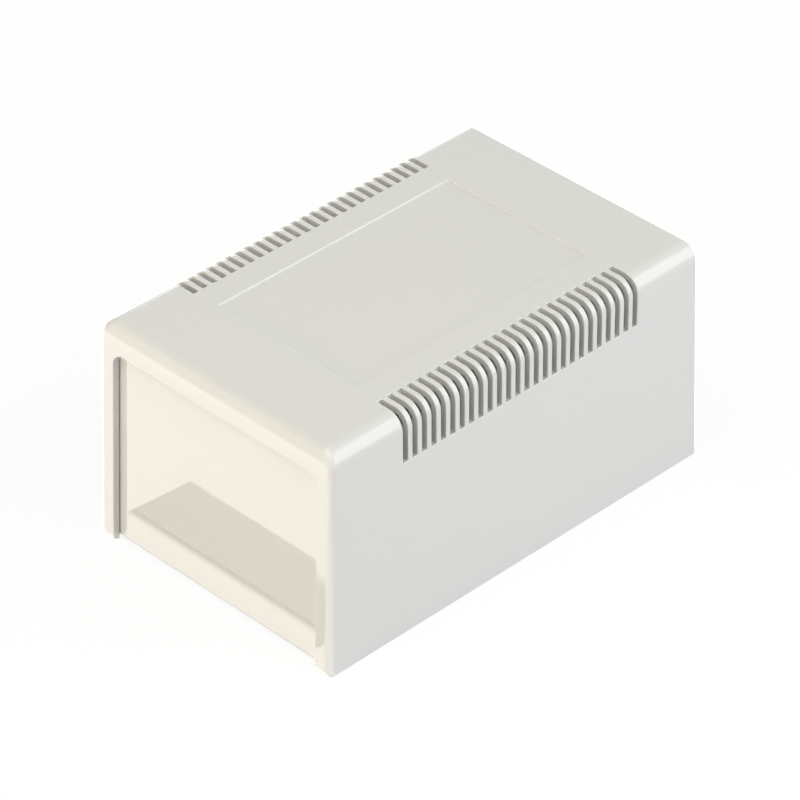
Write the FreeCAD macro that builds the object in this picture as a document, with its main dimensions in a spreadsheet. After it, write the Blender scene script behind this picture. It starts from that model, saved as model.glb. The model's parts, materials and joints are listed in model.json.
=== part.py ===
import FreeCAD
import Part
import Sketcher
import os

# A ventilated plastic project box: a deep one-piece cover, a recessed base, two blank end panels
# and four screws. Millimetres, Z up, the front faces -Y, the origin is the middle of the underside.

os.makedirs("parts", exist_ok=True)
doc = FreeCAD.newDocument("project_box")

# Driving dimensions
DIMENSIONS = [
    ("box_length", 164.0, "front to rear at the bottom rim"),
    ("box_width", 103.4, "side to side at the bottom rim"),
    ("box_height", 81.2, "bottom rim to top face"),
    ("side_lean", 0.6, "how far each side wall leans in over the full height"),
    ("end_lean", 3.0, "how far the front and the rear lean in over the full height"),
    ("side_edge_radius", 5.8, "long top edges"),
    ("front_edge_radius", 4.4, "front top edge"),
    ("foot_edge_radius", 2.0, "lower front edge of the two front feet"),
    ("corner_radius", 2.4, "upright front corners"),
    ("rear_edge_radius", 1.0, "rear top edge and upright rear corners"),
    ("wall", 2.4, "cover side and top walls"),
    ("frame_depth", 2.6, "thickness of the end frames, front to rear"),
    ("frame_width", 6.4, "outer side face to the edge of the arched opening"),
    ("frame_drop", 10.1, "top face to the top of the arched opening"),
    ("arch_radius", 4.4, "upper corners of the arched opening"),
    ("slot_count", 26, "vent slots along each top edge"),
    ("slot_shift", 1.1, "how far the slots and the label recess sit behind the middle"),
    ("slot_pitch", 4.0, "spacing of the vent slots"),
    ("slot_width", 2.1, "width of a vent slot"),
    ("slot_reach", 11.1, "how far a slot runs in over the top face"),
    ("slot_drop", 17.0, "how far a slot runs down the side face"),
    ("label_length", 100.0, "label recess along the box"),
    ("label_width", 60.4, "label recess across the box"),
    ("label_depth", 0.6, "label recess below the top face"),
    ("panel_thickness", 2.0, "end panels"),
    ("panel_play", 0.3, "clearance all round an end panel"),
    ("lap_thickness", 1.0, "front part of a panel that laps down over its ledge"),
    ("lap_foot", 1.3, "lower edge of the lap above the bottom rim"),
    ("rib_thickness", 1.6, "panel ribs inside the cover and panel lips on the base"),
    ("rib_height", 2.4, "how far the panel ribs stand in from the cover walls"),
    ("base_recess", 2.2, "underside of the base above the bottom rim"),
    ("base_thickness", 2.4, "base plate"),
    ("base_play", 0.3, "clearance between the base and the cover walls"),
    ("ledge_thickness", 1.2, "front and rear ledges that the panels stand on"),
    ("lip_height", 4.0, "panel lips above the base plate"),
    ("post_diameter", 8.0, "screw posts inside the cover"),
    ("post_inset_side", 9.0, "outer side face to the middle of a post"),
    ("post_inset_end", 13.0, "end of the box to the middle of a post"),
    ("pilot_diameter", 3.0, "screw hole in a post"),
    ("pilot_depth", 12.0, "depth of the screw hole in a post"),
    ("bore_diameter", 3.4, "screw clearance holes through the base plate"),
    ("screw_diameter", 2.9, "screw shank"),
    ("screw_length", 12.0, "screw below its head"),
    ("head_diameter", 5.6, "screw head"),
    ("head_height", 1.8, "screw head, less than the base recess that it stands in"),
    ("standoff_diameter", 6.0, "board standoffs"),
    ("standoff_height", 5.0, "board standoffs above the base plate"),
    ("standoff_bore", 2.5, "self-tapping hole in a standoff"),
    ("board_hole_width", 76.0, "standoff spacing across the box"),
    ("board_hole_length", 100.0, "standoff spacing along the box"),
    ("floor_slot_count", 17, "vent slots in each row of the base"),
    ("floor_slot_inset", 8.0, "middle of the box to the inner end of a floor slot"),
    ("floor_slot_length", 22.0, "length of a floor slot"),
]

sheet = doc.addObject("Spreadsheet::Sheet", "dims")
for row, (alias, size, note) in enumerate(DIMENSIONS, start=1):
    sheet.set("A%d" % row, alias)
    sheet.set("B%d" % row, str(size))
    sheet.setAlias("B%d" % row, alias)
    sheet.set("C%d" % row, note)
doc.recompute()

# Heights and insets that several pieces share
SIDE_SLOPE = "dims.side_lean / dims.box_height"
END_SLOPE = "dims.end_lean / dims.box_height"
BASE_TOP = "(dims.base_recess + dims.base_thickness)"
LEDGE_TOP = "(dims.base_recess + dims.ledge_thickness)"
LIP_TOP = "(%s + dims.lip_height)" % BASE_TOP
CEILING = "(dims.box_height - dims.wall)"
PANEL_FRONT = "(dims.frame_depth + dims.panel_play)"
PANEL_BACK = "(%s + dims.panel_thickness)" % PANEL_FRONT
LAP_BACK = "(%s + dims.lap_thickness)" % PANEL_FRONT
RIB_FRONT = "(%s + dims.panel_play)" % PANEL_BACK
RIB_BACK = "(%s + dims.rib_thickness)" % RIB_FRONT
INNER_SIDE = "dims.wall"
WINDOW_SIDE = "(dims.wall + dims.rib_height)"
INNER_RADIUS = "(dims.side_edge_radius - dims.wall)"
PANEL_SIDE = "(dims.wall + dims.panel_play)"
PANEL_TOP = "(%s - dims.panel_play)" % CEILING
OVERSHOOT = 1.0
OUTSIDE = "-%s" % OVERSHOOT
NEAR_ENOUGH = 0.01


def value(expression):
    """The present number of an expression on the sheet."""
    return float(sheet.evalExpression(expression))


def bind(thing, **properties):
    """Tie properties of an object to expressions."""
    for name, expression in properties.items():
        thing.setExpression(name.replace("__", "."), str(expression))


# Blocks whose sides lean with the cover
def half_width(inset, height):
    """Half the width, at a height, between two planes parallel to the side faces."""
    return "(dims.box_width / 2 - (%s) - %s * (%s))" % (inset, SIDE_SLOPE, height)


def end_distance(inset, height):
    """Distance from the middle, at a height, of a plane parallel to an end face."""
    return "(dims.box_length / 2 - (%s) - %s * (%s))" % (inset, END_SLOPE, height)


def leaning_block(name, side, front, rear, low, high):
    """A block whose sides are parallel to the cover's drafted faces.

    side is its inset from the side faces. front and rear each give the sign of the end that the
    face leans with, 1 for the front and -1 for the rear, and the inset from that end.
    """
    block = doc.addObject("Part::Wedge", name)
    block.Placement = FreeCAD.Placement(
        FreeCAD.Vector(0, 0, 0), FreeCAD.Rotation(FreeCAD.Vector(1, 0, 0), 90))
    for level, wide, deep in ((low, "X", "Z"), (high, "X2", "Z2")):
        block.setExpression(wide + "min", "-" + half_width(side, level))
        block.setExpression(wide + "max", half_width(side, level))
        block.setExpression(deep + "max", "%d * %s" % (front[0], end_distance(front[1], level)))
        block.setExpression(deep + "min", "%d * %s" % (rear[0], end_distance(rear[1], level)))
    bind(block, Ymin=low, Ymax=high)
    return block


def fuse(name, pieces):
    joined = doc.addObject("Part::MultiFuse", name)
    joined.Shapes = pieces
    return joined


def cut(name, body, tool):
    result = doc.addObject("Part::Cut", name)
    result.Base = body
    result.Tool = tool
    return result


def ease_edges(name, body, choose, kind="Part::Fillet"):
    """Round or bevel the edges for which choose gives a size, from the edge's middle point."""
    doc.recompute()
    chosen = []
    for number, edge in enumerate(body.Shape.Edges, start=1):
        size = choose(edge.CenterOfMass)
        if size:
            chosen.append((number, size, size))
    eased = doc.addObject(kind, name)
    eased.Base = body
    eased.Edges = chosen
    return eased


def long_top_edges(body, top, size):
    """Pick the two upper edges that run from front to rear."""
    top_height = value(top)
    size_value = value(size)
    doc.recompute()
    beyond_middle = body.Shape.BoundBox.XMax / 2

    def choose(middle):
        on_top = abs(middle.z - top_height) < NEAR_ENOUGH
        beside = abs(middle.x) > beyond_middle
        return size_value if on_top and beside else None

    return choose


def round_long_top_edges(name, body, top, radius):
    return ease_edges(name, body, long_top_edges(body, top, radius))


def bevel_long_top_edges(name, body, top, radius):
    """Bevel them with the flat that touches an arc of that radius."""
    leg = "%s * (2 - sqrt(2))" % radius
    return ease_edges(name, body, long_top_edges(body, top, leg), kind="Part::Chamfer")


# Sketches on a body's own base planes
def origin_item(body, role):
    """The base plane or axis of a body that has this role."""
    return next(item for item in body.Origin.OriginFeatures if item.Role == role)


def flat_sketch(body, name, height):
    """A sketch in a level plane at a height."""
    sketch = body.newObject("Sketcher::SketchObject", name)
    sketch.AttachmentSupport = [(origin_item(body, "XY_Plane"), "")]
    sketch.MapMode = "FlatFace"
    sketch.setExpression("AttachmentOffset.Base.z", height)
    return sketch


def pin(sketch, geometry, point, axis, place):
    """Hold one coordinate of a point at the place that an expression gives."""
    now = value(place)
    if now < 0:
        ends = (geometry, point, -1, 1)
        place = "-(%s)" % place
    else:
        ends = (-1, 1, geometry, point)
    number = sketch.addConstraint(Sketcher.Constraint("Distance" + axis, *ends, abs(now)))
    name = "%s_%d_%d" % (axis.lower() + "_place", geometry, point)
    sketch.renameConstraint(number, name)
    sketch.setExpression("Constraints." + name, place)


def rectangle(sketch, left, right, near, far):
    """A rectangle between four lines that expressions place."""
    first = sketch.GeometryCount
    xs = (value(left), value(right))
    ys = (value(near), value(far))
    corners = [(xs[0], ys[0]), (xs[1], ys[0]), (xs[1], ys[1]), (xs[0], ys[1])]
    points = [FreeCAD.Vector(x, y, 0) for x, y in corners]
    for start, end in zip(points, points[1:] + points[:1]):
        sketch.addGeometry(Part.LineSegment(start, end), False)
    for side in range(4):
        following = first + (side + 1) % 4
        sketch.addConstraint(Sketcher.Constraint("Coincident", first + side, 2, following, 1))
        run = "Horizontal" if side % 2 == 0 else "Vertical"
        sketch.addConstraint(Sketcher.Constraint(run, first + side))
    pin(sketch, first, 1, "X", left)
    pin(sketch, first, 1, "Y", near)
    pin(sketch, first + 2, 1, "X", right)
    pin(sketch, first + 2, 1, "Y", far)


def circle(sketch, x, y, diameter):
    """A circle whose middle and diameter expressions give."""
    number = sketch.GeometryCount
    middle = FreeCAD.Vector(value(x), value(y), 0)
    sketch.addGeometry(Part.Circle(middle, FreeCAD.Vector(0, 0, 1), value(diameter) / 2), False)
    pin(sketch, number, 3, "X", x)
    pin(sketch, number, 3, "Y", y)
    limit = sketch.addConstraint(Sketcher.Constraint("Diameter", number, value(diameter)))
    name = "diameter_%d" % number
    sketch.renameConstraint(limit, name)
    sketch.setExpression("Constraints." + name, diameter)


def four_circles(sketch, x, y, diameter):
    """The same circle in all four quarters of the plan."""
    for side in ("-", ""):
        for end in ("-", ""):
            circle(sketch, side + x, end + y, diameter)


def pad(body, name, sketch, height):
    feature = body.newObject("PartDesign::Pad", name)
    feature.Profile = sketch
    feature.setExpression("Length", height)
    sketch.Visibility = False
    doc.recompute()
    return feature


def pocket(body, name, sketch, depth, upward=False):
    """Cut a sketch into the body, downwards unless told otherwise, and see that it cuts."""
    doc.recompute()
    before = body.Shape.Volume
    feature = body.newObject("PartDesign::Pocket", name)
    feature.Profile = sketch
    feature.Reversed = upward
    feature.setExpression("Length", depth)
    sketch.Visibility = False
    doc.recompute()
    if feature.Shape.Volume > before - NEAR_ENOUGH:
        raise RuntimeError(name + " removes nothing")
    return feature


def repeat_along_box(body, name, feature, count, span):
    """Repeat a feature at even steps towards the rear."""
    row = body.newObject("PartDesign::LinearPattern", name)
    row.Originals = [feature]
    row.Direction = (origin_item(body, "Y_Axis"), [""])
    row.setExpression("Length", span)
    row.setExpression("Occurrences", count)
    body.Tip = row
    doc.recompute()
    return row


# Cover: outside form
POST_X = "(dims.box_width / 2 - dims.post_inset_side)"
POST_Y = "(dims.box_length / 2 - dims.post_inset_end)"

outer_block = leaning_block("cover_block", "0", (1, "0"), (-1, "0"), "0", "dims.box_height")


def outer_radius(middle):
    """The radius of each outer edge of the cover."""
    height = value("dims.box_height")
    on_top = abs(middle.z - height) < NEAR_ENOUGH
    on_bottom = abs(middle.z) < NEAR_ENOUGH
    at_front = middle.y < -value("dims.box_length") / 4
    at_rear = middle.y > value("dims.box_length") / 4
    if at_front and on_top:
        return value("dims.front_edge_radius")
    if at_front:
        return value("dims.foot_edge_radius" if on_bottom else "dims.corner_radius")
    if at_rear:
        return None if on_bottom else value("dims.rear_edge_radius")
    return value("dims.side_edge_radius") if on_top else None


outer_form = ease_edges("cover_outside", outer_block, outer_radius)

# Cover: the hollow, which leaves the panel ribs and the screw posts standing
hollow_block = leaning_block(
    "hollow_block", INNER_SIDE, (1, "dims.frame_depth"), (-1, "dims.frame_depth"), OUTSIDE, CEILING)
hollow = bevel_long_top_edges("hollow_bevelled", hollow_block, CEILING, INNER_RADIUS)

WINDOW_TOP = "(%s - dims.rib_height)" % CEILING
window_block = leaning_block(
    "rib_window_block", WINDOW_SIDE, (1, "0"), (-1, "0"), OUTSIDE, WINDOW_TOP)
window = bevel_long_top_edges("rib_window", window_block, WINDOW_TOP, INNER_RADIUS)
RIB_FOOT = "(%s + dims.base_play)" % BASE_TOP
rib_slabs = [
    leaning_block(
        "front_rib_slab", "0", (1, RIB_FRONT), (1, RIB_BACK), RIB_FOOT, "dims.box_height"),
    leaning_block(
        "rear_rib_slab", "0", (-1, RIB_BACK), (-1, RIB_FRONT), RIB_FOOT, "dims.box_height"),
]
ribs = cut("panel_ribs", fuse("rib_slabs", rib_slabs), window)

post_bars = []
for side_name, side in (("left", "-"), ("right", "")):
    for end_name, end in (("front", "-"), ("rear", "")):
        tag = "%s_%s" % (end_name, side_name)
        post = doc.addObject("Part::Cylinder", "post_" + tag)
        bind(post, Radius="dims.post_diameter / 2", Height="dims.box_height - %s" % BASE_TOP)
        bind(post, Placement__Base__x=side + POST_X, Placement__Base__y=end + POST_Y)
        bind(post, Placement__Base__z=BASE_TOP)
        web = doc.addObject("Part::Box", "post_web_" + tag)
        bind(web, Length="dims.post_inset_side", Width="dims.rib_thickness")
        bind(web, Height="dims.box_height - %s" % BASE_TOP)
        web_x = "-dims.box_width / 2" if side else POST_X
        bind(web, Placement__Base__x=web_x)
        bind(web, Placement__Base__y="%s%s - dims.rib_thickness / 2" % (end, POST_Y))
        bind(web, Placement__Base__z=BASE_TOP)
        post_bars += [post, web]

core = cut("moulding_core", hollow, fuse("ribs_and_posts", [ribs] + post_bars))

# Cover: the arched opening in each end frame
ARCH_TOP = "(dims.box_height - dims.frame_drop)"
arches = []
for end_name, sign in (("front", 1), ("rear", -1)):
    outside = (sign, OUTSIDE)
    inside = (sign, PANEL_FRONT)
    nearer, further = (outside, inside) if sign > 0 else (inside, outside)
    arch_block = leaning_block(
        end_name + "_arch_block", "dims.frame_width", nearer, further, OUTSIDE, ARCH_TOP)
    arches.append(
        round_long_top_edges(end_name + "_arch", arch_block, ARCH_TOP, "dims.arch_radius"))

shell = cut("cover_shell", outer_form, fuse("core_and_arches", [core] + arches))
doc.recompute()

# Cover: vent slots over both long top edges, the label recess and the screw holes
cover = doc.addObject("PartDesign::Body", "cover")
cover.Label = "cover"
cover.BaseFeature = shell
doc.recompute()

FIRST_SLOT = "(dims.slot_shift - (dims.slot_count - 1) * dims.slot_pitch / 2)"
SLOT_INNER_END = "(dims.box_width / 2 - dims.side_lean - dims.slot_reach)"
SLOT_OUTER_END = "(dims.box_width / 2 + %s)" % OVERSHOOT
slot_sketch = flat_sketch(cover, "vent_slot_sketch", "dims.box_height")
SLOT_NEAR = "(%s - dims.slot_width / 2)" % FIRST_SLOT
SLOT_FAR = "(%s + dims.slot_width / 2)" % FIRST_SLOT
rectangle(slot_sketch, SLOT_INNER_END, SLOT_OUTER_END, SLOT_NEAR, SLOT_FAR)
rectangle(slot_sketch, "-" + SLOT_OUTER_END, "-" + SLOT_INNER_END, SLOT_NEAR, SLOT_FAR)
vent_slot = pocket(cover, "vent_slot_pair", slot_sketch, "dims.slot_drop")
repeat_along_box(
    cover, "vent_slot_rows", vent_slot, "dims.slot_count", "(dims.slot_count - 1) * dims.slot_pitch")

label_sketch = flat_sketch(cover, "label_sketch", "dims.box_height")
rectangle(
    label_sketch,
    "-dims.label_width / 2", "dims.label_width / 2",
    "(dims.slot_shift - dims.label_length / 2)", "(dims.slot_shift + dims.label_length / 2)")
pocket(cover, "label_recess", label_sketch, "dims.label_depth")

pilot_sketch = flat_sketch(cover, "pilot_sketch", BASE_TOP)
four_circles(pilot_sketch, POST_X, POST_Y, "dims.pilot_diameter")
pocket(cover, "pilot_holes", pilot_sketch, "dims.pilot_depth", upward=True)

# Base: plate, ledges and lips for the panels, screw holes, board standoffs and floor vents
base = doc.addObject("PartDesign::Body", "base")
base.Label = "base"

BASE_HALF_WIDTH = half_width("dims.wall + dims.base_play", BASE_TOP)
LEDGE_END = end_distance(LAP_BACK + " + dims.panel_play", LEDGE_TOP)
PLATE_END = end_distance(RIB_FRONT, LEDGE_TOP)
ledge_sketch = flat_sketch(base, "ledge_sketch", "dims.base_recess")
rectangle(ledge_sketch, "-" + BASE_HALF_WIDTH, BASE_HALF_WIDTH, "-" + LEDGE_END, LEDGE_END)
pad(base, "ledge_plate", ledge_sketch, "dims.ledge_thickness")
plate_sketch = flat_sketch(base, "plate_sketch", "dims.base_recess")
rectangle(plate_sketch, "-" + BASE_HALF_WIDTH, BASE_HALF_WIDTH, "-" + PLATE_END, PLATE_END)
pad(base, "base_plate", plate_sketch, "dims.base_thickness")

LIP_HALF_WIDTH = half_width(WINDOW_SIDE + " + dims.base_play", "dims.box_height")
LIP_OUTER = end_distance(RIB_FRONT, LIP_TOP)
LIP_INNER = "(%s - dims.rib_thickness)" % LIP_OUTER
lip_sketch = flat_sketch(base, "lip_sketch", BASE_TOP)
rectangle(lip_sketch, "-" + LIP_HALF_WIDTH, LIP_HALF_WIDTH, "-" + LIP_OUTER, "-" + LIP_INNER)
rectangle(lip_sketch, "-" + LIP_HALF_WIDTH, LIP_HALF_WIDTH, LIP_INNER, LIP_OUTER)
pad(base, "panel_lips", lip_sketch, "dims.lip_height")

standoff_sketch = flat_sketch(base, "standoff_sketch", BASE_TOP)
BOARD_X = "(dims.board_hole_width / 2)"
BOARD_Y = "(dims.board_hole_length / 2)"
four_circles(standoff_sketch, BOARD_X, BOARD_Y, "dims.standoff_diameter")
pad(base, "board_standoffs", standoff_sketch, "dims.standoff_height")

bore_sketch = flat_sketch(base, "bore_sketch", BASE_TOP)
four_circles(bore_sketch, POST_X, POST_Y, "dims.bore_diameter")
pocket(base, "screw_bores", bore_sketch, "dims.base_thickness")
STANDOFF_TOP = "(%s + dims.standoff_height)" % BASE_TOP
standoff_bore_sketch = flat_sketch(base, "standoff_bore_sketch", STANDOFF_TOP)
four_circles(standoff_bore_sketch, BOARD_X, BOARD_Y, "dims.standoff_bore")
pocket(base, "standoff_bores", standoff_bore_sketch, "dims.standoff_height")

FIRST_FLOOR_SLOT = "(-(dims.floor_slot_count - 1) * dims.slot_pitch / 2)"
floor_sketch = flat_sketch(base, "floor_slot_sketch", BASE_TOP)
FLOOR_IN = "dims.floor_slot_inset"
FLOOR_OUT = "(dims.floor_slot_inset + dims.floor_slot_length)"
FLOOR_NEAR = "(%s - dims.slot_width / 2)" % FIRST_FLOOR_SLOT
FLOOR_FAR = "(%s + dims.slot_width / 2)" % FIRST_FLOOR_SLOT
rectangle(floor_sketch, FLOOR_IN, FLOOR_OUT, FLOOR_NEAR, FLOOR_FAR)
rectangle(floor_sketch, "-" + FLOOR_OUT, "-" + FLOOR_IN, FLOOR_NEAR, FLOOR_FAR)
floor_slot = pocket(base, "floor_slot_pair", floor_sketch, "dims.base_thickness")
repeat_along_box(
    base, "floor_slot_rows", floor_slot,
    "dims.floor_slot_count", "(dims.floor_slot_count - 1) * dims.slot_pitch")

# End panels: plates that lean with the end frames, trapped between frame and ribs. The back of the
# lower edge is stepped to stand on the ledge, and the front laps down over the ledge.
panels = []
for end_name, sign in (("front", 1), ("rear", -1)):
    face = (sign, PANEL_FRONT)
    step = (sign, LAP_BACK)
    back = (sign, PANEL_BACK)
    behind = (sign, RIB_BACK)
    plate_ends = (face, back) if sign > 0 else (back, face)
    step_ends = (step, behind) if sign > 0 else (behind, step)
    plate = leaning_block(
        end_name + "_panel_plate", PANEL_SIDE, *plate_ends, "dims.lap_foot", PANEL_TOP)
    rounded = round_long_top_edges(
        end_name + "_panel_rounded", plate, PANEL_TOP, INNER_RADIUS)
    step_block = leaning_block(
        end_name + "_panel_step", INNER_SIDE, *step_ends, OUTSIDE, LEDGE_TOP)
    panel = cut(end_name + "_panel", rounded, step_block)
    panel.Label = end_name + "_panel"
    panels.append(panel)

# Screws: head under the base plate, shank through the plate into the post
screws = []
for side_name, side in (("left", "-"), ("right", "")):
    for end_name, end in (("front", "-"), ("rear", "")):
        tag = "%s_%s" % (end_name, side_name)
        head = doc.addObject("Part::Cylinder", "screw_head_" + tag)
        bind(head, Radius="dims.head_diameter / 2", Height="dims.head_height")
        bind(head, Placement__Base__z="dims.base_recess - dims.head_height")
        shank = doc.addObject("Part::Cylinder", "screw_shank_" + tag)
        bind(shank, Radius="dims.screw_diameter / 2", Height="dims.screw_length")
        bind(shank, Placement__Base__z="dims.base_recess")
        for piece in (head, shank):
            bind(piece, Placement__Base__x=side + POST_X, Placement__Base__y=end + POST_Y)
        screws.append(fuse("screw_" + tag, [head, shank]))
case_screws = doc.addObject("Part::Compound", "case_screws")
case_screws.Label = "case_screws"
case_screws.Links = screws

# Check every object, then write one file for each sub-part
doc.recompute()
for item in doc.Objects:
    if "Invalid" in item.State or "Error" in item.State:
        raise RuntimeError("%s failed: %s" % (item.Name, item.State))

for node in [cover, base] + panels + [case_screws]:
    shape = node.Shape
    if shape.isNull() or not shape.isValid():
        raise RuntimeError(node.Label + " has no valid shape")
    shape.exportStep("parts/%s.step" % node.Label)
    print(node.Label, "solids", len(shape.Solids), "volume", round(shape.Volume, 1))
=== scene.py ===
# A ventilated plastic project box: moulded cover, recessed base, two blank end panels and four
# screws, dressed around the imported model. Metres, Z up, the front faces -Y.
import bpy
import bmesh
import json
import math
from mathutils import Matrix, Vector

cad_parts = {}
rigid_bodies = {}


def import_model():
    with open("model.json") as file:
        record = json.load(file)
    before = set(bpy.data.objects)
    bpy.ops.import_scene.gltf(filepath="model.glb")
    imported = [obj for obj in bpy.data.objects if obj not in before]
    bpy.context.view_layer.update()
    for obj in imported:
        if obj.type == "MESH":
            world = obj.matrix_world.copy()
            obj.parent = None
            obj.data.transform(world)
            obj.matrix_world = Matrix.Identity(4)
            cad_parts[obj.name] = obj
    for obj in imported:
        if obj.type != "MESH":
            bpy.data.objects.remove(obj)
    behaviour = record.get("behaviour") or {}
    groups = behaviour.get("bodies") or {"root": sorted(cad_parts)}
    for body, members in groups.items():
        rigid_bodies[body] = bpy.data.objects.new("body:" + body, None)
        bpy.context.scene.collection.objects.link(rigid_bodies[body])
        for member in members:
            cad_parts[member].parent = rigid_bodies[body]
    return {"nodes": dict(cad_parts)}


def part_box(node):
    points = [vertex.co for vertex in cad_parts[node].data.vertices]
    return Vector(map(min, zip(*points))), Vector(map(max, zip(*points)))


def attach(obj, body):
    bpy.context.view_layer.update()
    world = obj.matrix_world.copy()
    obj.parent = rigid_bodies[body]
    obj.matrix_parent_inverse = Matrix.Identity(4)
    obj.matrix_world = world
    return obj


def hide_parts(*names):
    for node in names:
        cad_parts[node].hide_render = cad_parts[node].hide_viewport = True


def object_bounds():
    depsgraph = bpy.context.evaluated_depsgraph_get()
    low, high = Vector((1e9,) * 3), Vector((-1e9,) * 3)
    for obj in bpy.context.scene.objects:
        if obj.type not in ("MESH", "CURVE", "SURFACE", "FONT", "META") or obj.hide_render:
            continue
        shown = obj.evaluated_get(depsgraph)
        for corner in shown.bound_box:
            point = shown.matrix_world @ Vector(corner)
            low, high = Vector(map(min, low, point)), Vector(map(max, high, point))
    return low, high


for left_over in list(bpy.data.objects):
    bpy.data.objects.remove(left_over)

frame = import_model()
cad_low, cad_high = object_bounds()

MM = 0.001
WHITE = (1.0, 1.0, 1.0)
BOX_TOP = cad_high.z
BOX_SIDE = cad_high.x
BOX_FRONT = cad_low.y

scene = bpy.context.scene
scene.view_settings.view_transform = "Standard"


# Camera
CAMERA_AZIMUTH = math.radians(45.20)
CAMERA_ELEVATION = math.radians(35.70)
CAMERA_DISTANCE = 1.4775
CAMERA_RIGHT = -0.37 * MM
CAMERA_UP = -3.23 * MM
CAMERA_AIM = Vector((0, 0, 40 * MM))
SENSOR_WIDTH = 36.0
PHOTO_WIDTH = 800
FOCAL_PIXELS = 4724.5


def view_axes(azimuth, elevation):
    """The directions towards the camera, to its right and upwards in its picture."""
    level = math.cos(elevation)
    back = Vector((math.sin(azimuth) * level, -math.cos(azimuth) * level, math.sin(elevation)))
    right = Vector((math.cos(azimuth), math.sin(azimuth), 0))
    return back, right, back.cross(right)


def place_facing(thing, place, axes):
    """Put a camera or a lamp at a place, with the first of its view axes behind it."""
    back, right, up = axes
    turn = Matrix((right, up, back)).transposed().to_4x4()
    thing.matrix_world = Matrix.Translation(place) @ turn
    scene.collection.objects.link(thing)


def make_camera():
    axes = view_axes(CAMERA_AZIMUTH, CAMERA_ELEVATION)
    back, right, up = axes
    lens = bpy.data.cameras.new("camera")
    lens.sensor_width = SENSOR_WIDTH
    lens.lens = FOCAL_PIXELS / PHOTO_WIDTH * SENSOR_WIDTH
    camera = bpy.data.objects.new("camera", lens)
    place = CAMERA_AIM + back * CAMERA_DISTANCE + right * CAMERA_RIGHT + up * CAMERA_UP
    place_facing(camera, place, axes)
    scene.camera = camera


make_camera()


# Materials
class Nodes:
    """A short way to write the node tree of a material or a world."""

    def __init__(self, owner):
        self.owner = owner
        owner.use_nodes = True
        self.tree = owner.node_tree
        self.tree.nodes.clear()

    def add(self, kind, inputs=None, **settings):
        node = self.tree.nodes.new(kind)
        for key, setting in settings.items():
            setattr(node, key, setting)
        for socket, source in (inputs or {}).items():
            if isinstance(source, bpy.types.NodeSocket):
                self.tree.links.new(source, node.inputs[socket])
            else:
                node.inputs[socket].default_value = source
        return node

    def finish(self, shader, output="ShaderNodeOutputMaterial"):
        self.add(output, {"Surface": shader.outputs[0]})
        return self.owner


def material_nodes(name):
    return Nodes(bpy.data.materials.new(name))


def object_coordinates(nodes):
    return nodes.add("ShaderNodeTexCoord").outputs["Object"]


def noise(nodes, place, feature, detail=2.0, roughness=0.5):
    """A noise whose blobs are about as wide as feature, in metres."""
    inputs = {"Vector": place, "Scale": 1 / feature, "Detail": detail, "Roughness": roughness}
    return nodes.add("ShaderNodeTexNoise", inputs).outputs["Fac"]


NOISE_LOW = 0.3
NOISE_HIGH = 0.7


def spread(nodes, source, low, high):
    """Stretch the useful part of a noise over a range."""
    inputs = {
        "Value": source, "From Min": NOISE_LOW, "From Max": NOISE_HIGH, "To Min": low,
        "To Max": high}
    return nodes.add("ShaderNodeMapRange", inputs).outputs["Result"]


def tint(nodes, amount, first, second):
    inputs = {"Factor": amount, 6: (*first, 1), 7: (*second, 1)}
    return nodes.add("ShaderNodeMix", inputs, data_type="RGBA").outputs[2]


def bump(nodes, height, distance, strength=1.0, below=None):
    inputs = {"Height": height, "Distance": distance, "Strength": strength}
    if below:
        inputs["Normal"] = below
    return nodes.add("ShaderNodeBump", inputs).outputs["Normal"]


COVER_GREY = (0.685, 0.69, 0.665)
BASE_GREY = (0.66, 0.66, 0.635)
PANEL_GREY = (0.69, 0.69, 0.67)
ABS_IOR = 1.52
CLOUD_SIZE = 34 * MM
CLOUD_SHADE = 0.992
WAVE_SIZE = 46 * MM
WAVE_DEPTH = 0.03 * MM
GRAIN_SIZE = 0.34 * MM
SHINE_SIZE = 22 * MM
SHINE_SPREAD = 0.1


def moulded_abs(name, colour, roughness, grain_depth):
    """Through-coloured ABS: faint flow clouds, a fine eroded-mould grain and slow waviness."""
    nodes = material_nodes(name)
    place = object_coordinates(nodes)
    darker = [channel * CLOUD_SHADE for channel in colour]
    base = tint(nodes, noise(nodes, place, CLOUD_SIZE), darker, colour)
    waves = bump(nodes, noise(nodes, place, WAVE_SIZE, detail=0.0), WAVE_DEPTH)
    grain_height = noise(nodes, place, GRAIN_SIZE, roughness=0.6)
    grain = bump(nodes, grain_height, grain_depth, below=waves)
    rough = spread(
        nodes, noise(nodes, place, SHINE_SIZE, detail=1.0), (1 - SHINE_SPREAD) * roughness,
        (1 + SHINE_SPREAD) * roughness)
    return nodes.finish(nodes.add(
        "ShaderNodeBsdfPrincipled",
        {"Base Color": base, "Roughness": rough, "IOR": ABS_IOR, "Normal": grain}))


ZINC_DARK = (0.53, 0.54, 0.56)
ZINC_LIGHT = (0.66, 0.67, 0.68)
SPANGLE_SIZE = 1.6 * MM
SMEAR_SIZE = 0.5 * MM
SMOOTHEST_ZINC = 0.24
ROUGHEST_ZINC = 0.42
SCRATCH_SIZE = 0.12 * MM
SCRATCH_DEPTH = 0.004 * MM
SCRATCH_STRENGTH = 0.6


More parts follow.
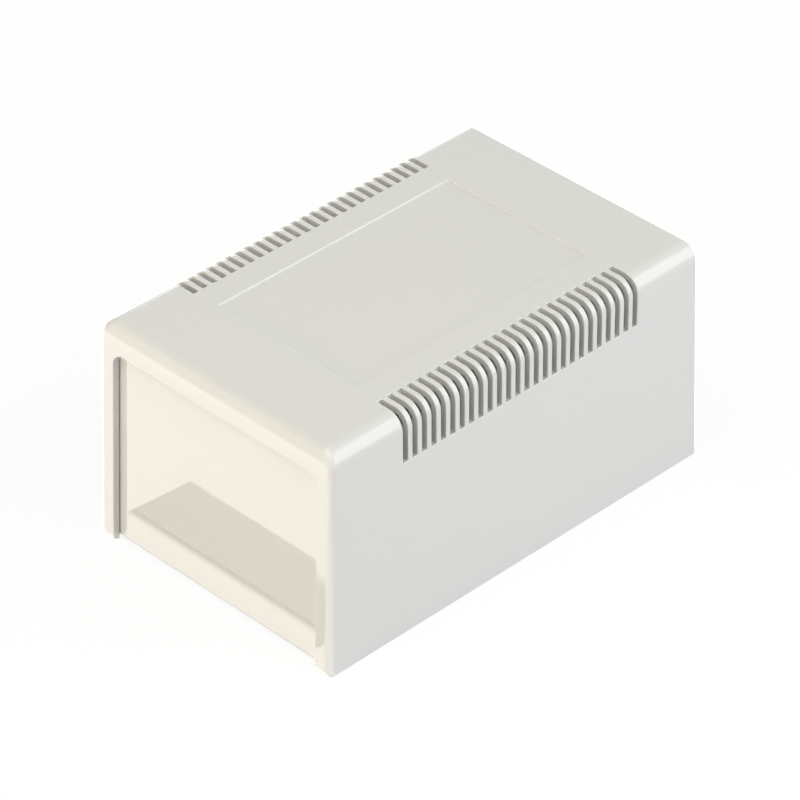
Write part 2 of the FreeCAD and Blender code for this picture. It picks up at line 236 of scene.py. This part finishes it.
def zinc_plate(name):
    """Bright zinc on steel, with small scratches and a slightly uneven shine."""
    nodes = material_nodes(name)
    place = object_coordinates(nodes)
    base = tint(nodes, noise(nodes, place, SPANGLE_SIZE, detail=3.0), ZINC_DARK, ZINC_LIGHT)
    rough = spread(
        nodes, noise(nodes, place, SMEAR_SIZE, detail=4.0), SMOOTHEST_ZINC, ROUGHEST_ZINC)
    scratches = bump(
        nodes, noise(nodes, place, SCRATCH_SIZE), SCRATCH_DEPTH, strength=SCRATCH_STRENGTH)
    return nodes.finish(nodes.add(
        "ShaderNodeBsdfPrincipled",
        {"Base Color": base, "Metallic": 1.0, "Roughness": rough, "Normal": scratches}))


cover_material = moulded_abs(
    "cover_abs_grained", COVER_GREY, roughness=0.10, grain_depth=0.0005 * MM)
base_material = moulded_abs(
    "base_abs_grained", BASE_GREY, roughness=0.30, grain_depth=0.004 * MM)
panel_material = moulded_abs(
    "panel_abs_smooth", PANEL_GREY, roughness=0.05, grain_depth=0.0002 * MM)
screw_material = zinc_plate("zinc_plated_steel")


# Moulded pieces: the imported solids, welded, with softened edges
WELD = 0.002 * MM
FLAT = math.radians(0.4)
SHARP = math.radians(32)


def place_object(name, mesh):
    thing = bpy.data.objects.new(name, mesh)
    scene.collection.objects.link(thing)
    return thing


def welded_copy(node, name):
    """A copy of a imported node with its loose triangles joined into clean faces."""
    shape = bmesh.new()
    shape.from_mesh(frame["nodes"][node].data)
    bmesh.ops.remove_doubles(shape, verts=shape.verts, dist=WELD)
    bmesh.ops.dissolve_limit(
        shape, angle_limit=FLAT, verts=shape.verts, edges=shape.edges, delimit=set())
    mesh = bpy.data.meshes.new(name)
    shape.to_mesh(mesh)
    shape.free()
    return place_object(name, mesh)


def weigh_edges(piece, weight_at):
    """Give each sharp edge a bevel weight from its middle point; one of 0 stays a hard edge."""
    shape = bmesh.new()
    shape.from_mesh(piece.data)
    layer = shape.edges.layers.float.new("bevel_weight_edge")
    for edge in shape.edges:
        if len(edge.link_faces) == 2 and edge.calc_face_angle(0) > SHARP:
            edge[layer] = weight_at((edge.verts[0].co + edge.verts[1].co) / 2)
            edge.smooth = edge[layer] > 0
    shape.to_mesh(piece.data)
    shape.free()


def plain_mesh(piece):
    """Replace a piece's mesh with its finished form, without modifiers."""
    graph = bpy.context.evaluated_depsgraph_get()
    finished = bpy.data.meshes.new_from_object(piece.evaluated_get(graph))
    piece.modifiers.clear()
    finished.name = piece.name
    piece.data = finished


def soften(piece, widest, material):
    """Round the weighted edges and shade the piece smoothly between its hard edges."""
    piece.data.shade_smooth()
    bevel = piece.modifiers.new("softened_edges", "BEVEL")
    bevel.limit_method = "WEIGHT"
    bevel.width = widest
    bevel.segments = 3
    bevel.use_clamp_overlap = False
    bevel.harden_normals = True
    bevel.miter_outer = "MITER_SHARP"
    bevel.loop_slide = False
    shading = piece.modifiers.new("flat_faces_stay_flat", "WEIGHTED_NORMAL")
    shading.mode = "FACE_AREA"
    shading.weight = 100
    shading.keep_sharp = True
    plain_mesh(piece)
    piece.data.materials.clear()
    piece.data.materials.append(material)


def finish_piece(piece, node):
    """Hang the piece on the root body and hide the imported node it stands in for."""
    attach(piece, "root")
    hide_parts(node)


def moulded_piece(node, name, widest, weight_at, material):
    piece = welded_copy(node, name)
    weigh_edges(piece, weight_at)
    soften(piece, widest, material)
    finish_piece(piece, node)


FRAME_EDGE = 0.28 * MM
RECESS_EDGE = 0.25 * MM
SLOT_EDGE = 0.28 * MM
BASE_EDGE = 0.25 * MM
PANEL_EDGE = 0.2 * MM

# Where the cover's and the base's kinds of edges are
WALL = 2.4 * MM
INNER_SIDE = BOX_SIDE - 0.9 * WALL
INNER_END = 77.2 * MM
INNER_TOP = BOX_TOP - 0.95 * WALL
BOTTOM_RIM = 0.5 * MM
FRAME_START = 0.94 * abs(BOX_FRONT)
RECESS_SIDE = 0.7 * BOX_SIDE
RECESS_FLOOR = 0.98 * BOX_TOP
BASE_UPPER_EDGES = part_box("base")[0].z + 0.95 * WALL


def cover_edge(middle):
    """The share of the end frames' soft edge that each sharp edge of the cover has."""
    within = abs(middle.x) < INNER_SIDE and abs(middle.y) < INNER_END
    if within and BOTTOM_RIM < middle.z < INNER_TOP:
        return 0.0
    if abs(middle.y) > FRAME_START:
        return 1.0
    if abs(middle.x) < RECESS_SIDE and middle.z > RECESS_FLOOR:
        return RECESS_EDGE / FRAME_EDGE
    return SLOT_EDGE / FRAME_EDGE


def base_edge(middle):
    """Soften the underside and the outer rim of the base, not its hidden inner side."""
    return 1.0 if middle.z < BASE_UPPER_EDGES else 0.0


def every_edge(middle):
    return 1.0


moulded_piece("cover", "moulded_cover", FRAME_EDGE, cover_edge, cover_material)
moulded_piece("base", "moulded_base", BASE_EDGE, base_edge, base_material)
for end in ("front", "rear"):
    moulded_piece(
        end + "_panel", end + "_blank_panel", PANEL_EDGE, every_edge, panel_material)


# Case screws: one threaded pan-head screw, set in the four posts by a node tree
HEAD_RADIUS = 2.8 * MM
HEAD_HEIGHT = 1.8 * MM
THREAD_RADIUS = 1.45 * MM
THREAD_ROOT = 1.08 * MM
THREAD_PITCH = 1.25 * MM
THREAD_START = 0.7 * MM
THREAD_FLANK = 0.34
SHANK_LENGTH = 12.0 * MM
TIP_LENGTH = 2.6 * MM
TIP_RADIUS = 0.35 * MM
TIP_CURVE = 0.8
SCREW_SIDES = 32
SCREW_SHARP = math.radians(38)
ROWS_PER_TURN = 8
# Shares of the head's radius and height, from its middle to its rim
HEAD_PROFILE = [
    (0.42, 1.0), (0.62, 0.965), (0.78, 0.88), (0.90, 0.74), (0.97, 0.56),
    (1.0, 0.36), (1.0, 0.10), (0.97, 0.02), (0.93, 0.0)]
# Length and half width of the cross recess's arms, and their height, in millimetres
CROSS_LEVELS = ((1.75, 0.42, -1.95), (1.55, 0.38, -1.75), (0.62, 0.26, -0.62))


def shank_radius(turn, height):
    """Radius of the threaded shank: a V thread that runs out at the neck and at the tip."""
    phase = (height / THREAD_PITCH - turn) % 1.0
    ridge = max(0.0, 1.0 - abs(phase - 0.5) / THREAD_FLANK)
    neck = min(1.0, max(0.0, (height - THREAD_START) / THREAD_PITCH))
    radius = THREAD_ROOT + (THREAD_RADIUS - THREAD_ROOT) * ridge * neck
    to_tip = (SHANK_LENGTH - height) / TIP_LENGTH
    if to_tip < 1.0:
        radius = TIP_RADIUS + (radius - TIP_RADIUS) * max(0.0, to_tip) ** TIP_CURVE
    return radius


def screw_loops():
    """Round loops of points from the middle of the head out and up to the tip of the shank."""
    turns = [side / SCREW_SIDES for side in range(SCREW_SIDES)]
    rings = []
    for out, down in HEAD_PROFILE:
        rings.append([(HEAD_RADIUS * out, -HEAD_HEIGHT * down)] * SCREW_SIDES)
    rows = round(SHANK_LENGTH / THREAD_PITCH * ROWS_PER_TURN)
    for row in range(rows + 1):
        height = SHANK_LENGTH * row / rows
        rings.append([(shank_radius(turn, height), height) for turn in turns])
    step = math.tau / SCREW_SIDES
    return [
        [(radius * math.cos(side * step), radius * math.sin(side * step), height)
         for side, (radius, height) in enumerate(ring)]
        for ring in rings]


def cross_loops():
    """The outlines of a tapered cross that is as deep as a number 1 driver goes."""
    loops = []
    for arm, half, height in CROSS_LEVELS:
        corners = [(arm, -half), (arm, half), (half, half), (half, arm), (-half, arm),
                   (-half, half), (-arm, half), (-arm, -half), (-half, -half), (-half, -arm),
                   (half, -arm), (half, -half)]
        loops.append([(x * MM, y * MM, height * MM) for x, y in corners])
    return loops


def skin(name, loops):
    """An object with a closed skin over loops of equally many points."""
    shape = bmesh.new()
    rows = [[shape.verts.new(point) for point in loop] for loop in loops]
    shape.faces.new(rows[0])
    shape.faces.new(rows[-1])
    for lower, upper in zip(rows, rows[1:]):
        for side in range(len(lower)):
            ahead = (side + 1) % len(lower)
            shape.faces.new((lower[side], lower[ahead], upper[ahead], upper[side]))
    bmesh.ops.recalc_face_normals(shape, faces=shape.faces)
    mesh = bpy.data.meshes.new(name)
    shape.to_mesh(mesh)
    shape.free()
    return place_object(name, mesh)


def single_screw():
    """One screw, its head's underside at z 0, its cross recess facing down."""
    screw = skin("screw_pattern", screw_loops())
    cutter = skin("cross_recess_cutter", cross_loops())
    recess = screw.modifiers.new("cross_recess", "BOOLEAN")
    recess.operation = "DIFFERENCE"
    recess.solver = "EXACT"
    recess.object = cutter
    plain_mesh(screw)
    bpy.data.objects.remove(cutter)
    screw.data.shade_smooth()
    screw.data.set_sharp_from_angle(angle=SCREW_SHARP)
    return screw


def screws_tree():
    """A node tree that stands a copy of one screw at each corner of a rectangle."""
    tree = bpy.data.node_groups.new("screws_in_posts", "GeometryNodeTree")
    kinds = {
        "Screw": "NodeSocketObject", "Across": "NodeSocketFloat", "Along": "NodeSocketFloat",
        "Height": "NodeSocketFloat", "Turn seed": "NodeSocketInt", "Finish": "NodeSocketMaterial"}
    for name, kind in kinds.items():
        tree.interface.new_socket(name, in_out="INPUT", socket_type=kind)
    tree.interface.new_socket("Geometry", in_out="OUTPUT", socket_type="NodeSocketGeometry")
    given = tree.nodes.new("NodeGroupInput")
    result = tree.nodes.new("NodeGroupOutput")
    corners = tree.nodes.new("GeometryNodeMeshGrid")
    corners.inputs["Vertices X"].default_value = 2
    corners.inputs["Vertices Y"].default_value = 2
    height = tree.nodes.new("ShaderNodeCombineXYZ")
    raised = tree.nodes.new("GeometryNodeTransform")
    pattern = tree.nodes.new("GeometryNodeObjectInfo")
    turn = tree.nodes.new("FunctionNodeRandomValue")
    turn.data_type = "FLOAT_VECTOR"
    turn.inputs["Min"].default_value = (0, 0, 0)
    turn.inputs["Max"].default_value = (0, 0, math.tau)
    copies = tree.nodes.new("GeometryNodeInstanceOnPoints")
    real = tree.nodes.new("GeometryNodeRealizeInstances")
    finish = tree.nodes.new("GeometryNodeSetMaterial")
    for source, target in (
            (given.outputs["Across"], corners.inputs["Size X"]),
            (given.outputs["Along"], corners.inputs["Size Y"]),
            (given.outputs["Height"], height.inputs["Z"]),
            (corners.outputs["Mesh"], raised.inputs["Geometry"]),
            (height.outputs["Vector"], raised.inputs["Translation"]),
            (given.outputs["Screw"], pattern.inputs["Object"]),
            (given.outputs["Turn seed"], turn.inputs["Seed"]),
            (raised.outputs["Geometry"], copies.inputs["Points"]),
            (pattern.outputs["Geometry"], copies.inputs["Instance"]),
            (turn.outputs["Value"], copies.inputs["Rotation"]),
            (copies.outputs["Instances"], real.inputs["Geometry"]),
            (real.outputs["Geometry"], finish.inputs["Geometry"]),
            (given.outputs["Finish"], finish.inputs["Material"]),
            (finish.outputs["Geometry"], result.inputs["Geometry"])):
        tree.links.new(source, target)
    return tree


def set_tree_inputs(modifier, **settings):
    """Set the named inputs of a node tree on its modifier."""
    for item in modifier.node_group.interface.items_tree:
        name = item.name.replace(" ", "_").lower()
        if item.in_out == "INPUT" and name in settings:
            modifier[item.identifier] = settings[name]


def set_screws():
    low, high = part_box("case_screws")
    pattern = single_screw()
    piece = place_object("case_screws_threaded", bpy.data.meshes.new("case_screws_threaded"))
    setting = piece.modifiers.new("screws_in_posts", "NODES")
    setting.node_group = screws_tree()
    set_tree_inputs(
        setting, screw=pattern, across=high.x - low.x - 2 * HEAD_RADIUS,
        along=high.y - low.y - 2 * HEAD_RADIUS, height=low.z + HEAD_HEIGHT, turn_seed=4,
        finish=screw_material)
    plain_mesh(piece)
    bpy.data.objects.remove(pattern)
    finish_piece(piece, "case_screws")


set_screws()


# Floor
FLOOR_PAINT = (0.62, 0.63, 0.67)
FLOOR_HALF = 3.0
FLOOR_WHITENESS = 0.9
UNDER_HALF_WIDTH = 45 * MM
UNDER_HALF_LENGTH = 78 * MM
UNDER_HEIGHT = 0.1 * MM


def white_for(nodes):
    """One for the camera's own rays and for mirrored and passed ones, else nothing."""
    path = nodes.add("ShaderNodeLightPath").outputs
    bent = nodes.add(
        "ShaderNodeMath", {0: path["Is Glossy Ray"], 1: path["Is Transmission Ray"]},
        operation="MAXIMUM").outputs[0]
    return nodes.add(
        "ShaderNodeMath", {0: path["Is Camera Ray"], 1: bent}, operation="MAXIMUM").outputs[0]


def mix(nodes, share, first, second):
    return nodes.add("ShaderNodeMixShader", {0: share, 1: first.outputs[0], 2: second.outputs[0]})


def matt(nodes, colour):
    return nodes.add("ShaderNodeBsdfDiffuse", {"Color": (*colour, 1)})


def floor_white(name):
    """Pale paint that shows the camera mostly white, and keeps part of the box's shadow."""
    nodes = material_nodes(name)
    white = nodes.add("ShaderNodeEmission", {"Color": (*WHITE, 1), "Strength": 1.0})
    seen = mix(nodes, FLOOR_WHITENESS, matt(nodes, WHITE), white)
    return nodes.finish(mix(nodes, white_for(nodes), matt(nodes, FLOOR_PAINT), seen))


def sheet(name, corners, material):
    """A four-cornered stage surface."""
    mesh = bpy.data.meshes.new(name)
    mesh.from_pydata(corners, [], [(0, 1, 2, 3)])
    mesh.materials.append(material)
    surface = place_object(name, mesh)
    return surface


def level_corners(left, right, near, far, height):
    return [(left, near, height), (right, near, height), (right, far, height), (left, far, height)]


def make_floor():
    """A white floor, and below the box a sheet of darker plain paint that the camera sees as it
    is: painted shade under the box, on top of the real shadow the lamps cast there.
    """
    whole = level_corners(-FLOOR_HALF, FLOOR_HALF, -FLOOR_HALF, FLOOR_HALF, 0)
    sheet("floor", whole, floor_white("floor_white"))
    # painted shade: a darker sheet under the box, so the gap below the panels shows dark; the
    # lamps' own shadow also falls on it
    shade = material_nodes("floor_under_box")
    under = level_corners(
        -UNDER_HALF_WIDTH, UNDER_HALF_WIDTH, -UNDER_HALF_LENGTH, UNDER_HALF_LENGTH, UNDER_HEIGHT)
    sheet("floor_under_box", under, shade.finish(matt(shade, FLOOR_PAINT)))


make_floor()


# Bright cards on the floor round the box, which only show as a sheen on its glossy plastic. They
# leave out a strip before the front: the tan patch low on the panel is its mirror image. They are
# brightest where the top edge of the front mirrors them.
CARD_COLOUR = (1.0, 0.97, 0.92)
CARD_GLOW = 3.6
PEAK_GLOW = 4.4
FAR_GLOW = 2.6
SCREEN_GLOW = 2.1
CARD_HEIGHT = 0.5 * MM
CARD_LEFT = -2900 * MM
CARD_RIGHT = 160 * MM
CARD_BACK = -79.2 * MM
CARD_FAR = -2900 * MM
REAR_START = 84.2 * MM
FADE_START = 60 * MM
GAP_LEFT = -53.7 * MM
GAP_RIGHT = 38 * MM
GAP_NEAR = -92.2 * MM
GAP_NEAR_FADED = -88.2 * MM
GAP_FAR = -116.7 * MM
RISE_NEAR = -159.2 * MM
RISE_FAR = -161.8 * MM
PEAK_FAR = -164.0 * MM
FALL_FAR = -200 * MM
SCREEN_Y = -1900 * MM
SCREEN_LEFT = -2600 * MM
SCREEN_RIGHT = -900 * MM
SCREEN_TOP = 2400 * MM


def card_glow(name, start, end, first, last):
    """A warm glow from one strength to another between two lines along Y, faded at the right."""
    nodes = material_nodes(name)
    split = nodes.add("ShaderNodeSeparateXYZ", {0: object_coordinates(nodes)}).outputs
    strength = nodes.add(
        "ShaderNodeMapRange",
        {"Value": split["Y"], "From Min": start, "From Max": end, "To Min": first,
         "To Max": last}, interpolation_type="SMOOTHSTEP")
    fade = nodes.add(
        "ShaderNodeMapRange",
        {"Value": split["X"], "From Min": FADE_START, "From Max": CARD_RIGHT,
         "To Min": 1.0, "To Max": 1 / CARD_GLOW}, interpolation_type="SMOOTHSTEP")
    product = nodes.add(
        "ShaderNodeMath", {0: strength.outputs[0], 1: fade.outputs[0]}, operation="MULTIPLY")
    return nodes.finish(nodes.add(
        "ShaderNodeEmission", {"Color": (*CARD_COLOUR, 1), "Strength": product.outputs[0]}))


def reflector(name, corners, material):
    """A stage surface that only mirrored rays see."""
    card = sheet(name, corners, material)
    card.visible_camera = False
    card.visible_diffuse = False
    card.visible_transmission = False
    card.visible_volume_scatter = False
    card.visible_shadow = False


def make_reflectors():
    even = (CARD_FAR, CARD_BACK, CARD_GLOW, CARD_GLOW)
    cards = {
        "near": ((GAP_LEFT, GAP_RIGHT, GAP_NEAR, CARD_BACK),
                 (GAP_NEAR, GAP_NEAR_FADED, 0, CARD_GLOW)),
        "left": ((CARD_LEFT, GAP_LEFT, GAP_FAR, CARD_BACK), even),
        "right": ((GAP_RIGHT, CARD_RIGHT, GAP_FAR, CARD_BACK), even),
        "middle": ((CARD_LEFT, CARD_RIGHT, PEAK_FAR, GAP_FAR),
                   (RISE_FAR, RISE_NEAR, PEAK_GLOW, CARD_GLOW)),
        "far": ((CARD_LEFT, CARD_RIGHT, CARD_FAR, PEAK_FAR),
                (FALL_FAR, PEAK_FAR, FAR_GLOW, PEAK_GLOW)),
        "beside": ((CARD_LEFT, GAP_LEFT, CARD_BACK, -CARD_FAR), even),
        "behind": ((GAP_LEFT, -GAP_LEFT, REAR_START, -CARD_FAR), even),
    }
    for place, (edges, glow) in cards.items():
        name = "front_card_" + place
        reflector(name, level_corners(*edges, CARD_HEIGHT), card_glow(name, *glow))
    screen = [(SCREEN_LEFT, SCREEN_Y, CARD_HEIGHT), (SCREEN_RIGHT, SCREEN_Y, CARD_HEIGHT),
              (SCREEN_RIGHT, SCREEN_Y, SCREEN_TOP), (SCREEN_LEFT, SCREEN_Y, SCREEN_TOP)]
    plain = card_glow("front_screen", CARD_FAR, CARD_BACK, SCREEN_GLOW, SCREEN_GLOW)
    reflector("front_screen", screen, plain)


make_reflectors()


# Light
LAMP_DISTANCE = 1.6
WORLD_STRENGTH = 0.15
WORLD_COLOUR = (0.99, 1.0, 0.98)


def make_world():
    """Soft light all round, white where the camera, a mirrored or a passed ray sees it."""
    nodes = Nodes(bpy.data.worlds.new("studio"))
    soft = nodes.add(
        "ShaderNodeBackground", {"Color": (*WORLD_COLOUR, 1), "Strength": WORLD_STRENGTH})
    white = nodes.add("ShaderNodeBackground", {"Color": (*WHITE, 1), "Strength": 1.0})
    scene.world = nodes.finish(
        mix(nodes, white_for(nodes), soft, white), output="ShaderNodeOutputWorld")


def softbox(name, azimuth, elevation, size, power, colour):
    """A square lamp that faces the box from a direction, in degrees."""
    axes = view_axes(math.radians(azimuth), math.radians(elevation))
    lamp = bpy.data.lights.new(name, "AREA")
    lamp.shape = "SQUARE"
    lamp.size = size
    lamp.energy = power
    lamp.color = colour
    place = Vector((0, 0, BOX_TOP / 2)) + axes[0] * LAMP_DISTANCE
    place_facing(bpy.data.objects.new(name, lamp), place, axes)


make_world()
softbox("key", azimuth=113, elevation=31, size=1.8, power=26.2, colour=(0.966, 0.962, 0.98))
softbox("front_fill", azimuth=-4, elevation=5, size=1.0, power=15.9, colour=(1.0, 0.865, 0.655))
softbox("front_sky", azimuth=-15, elevation=60, size=1.2, power=12.5, colour=(1.0, 0.98, 0.91))
softbox("rear_fill", azimuth=215, elevation=2, size=1.4, power=13, colour=(1.0, 0.99, 0.97))
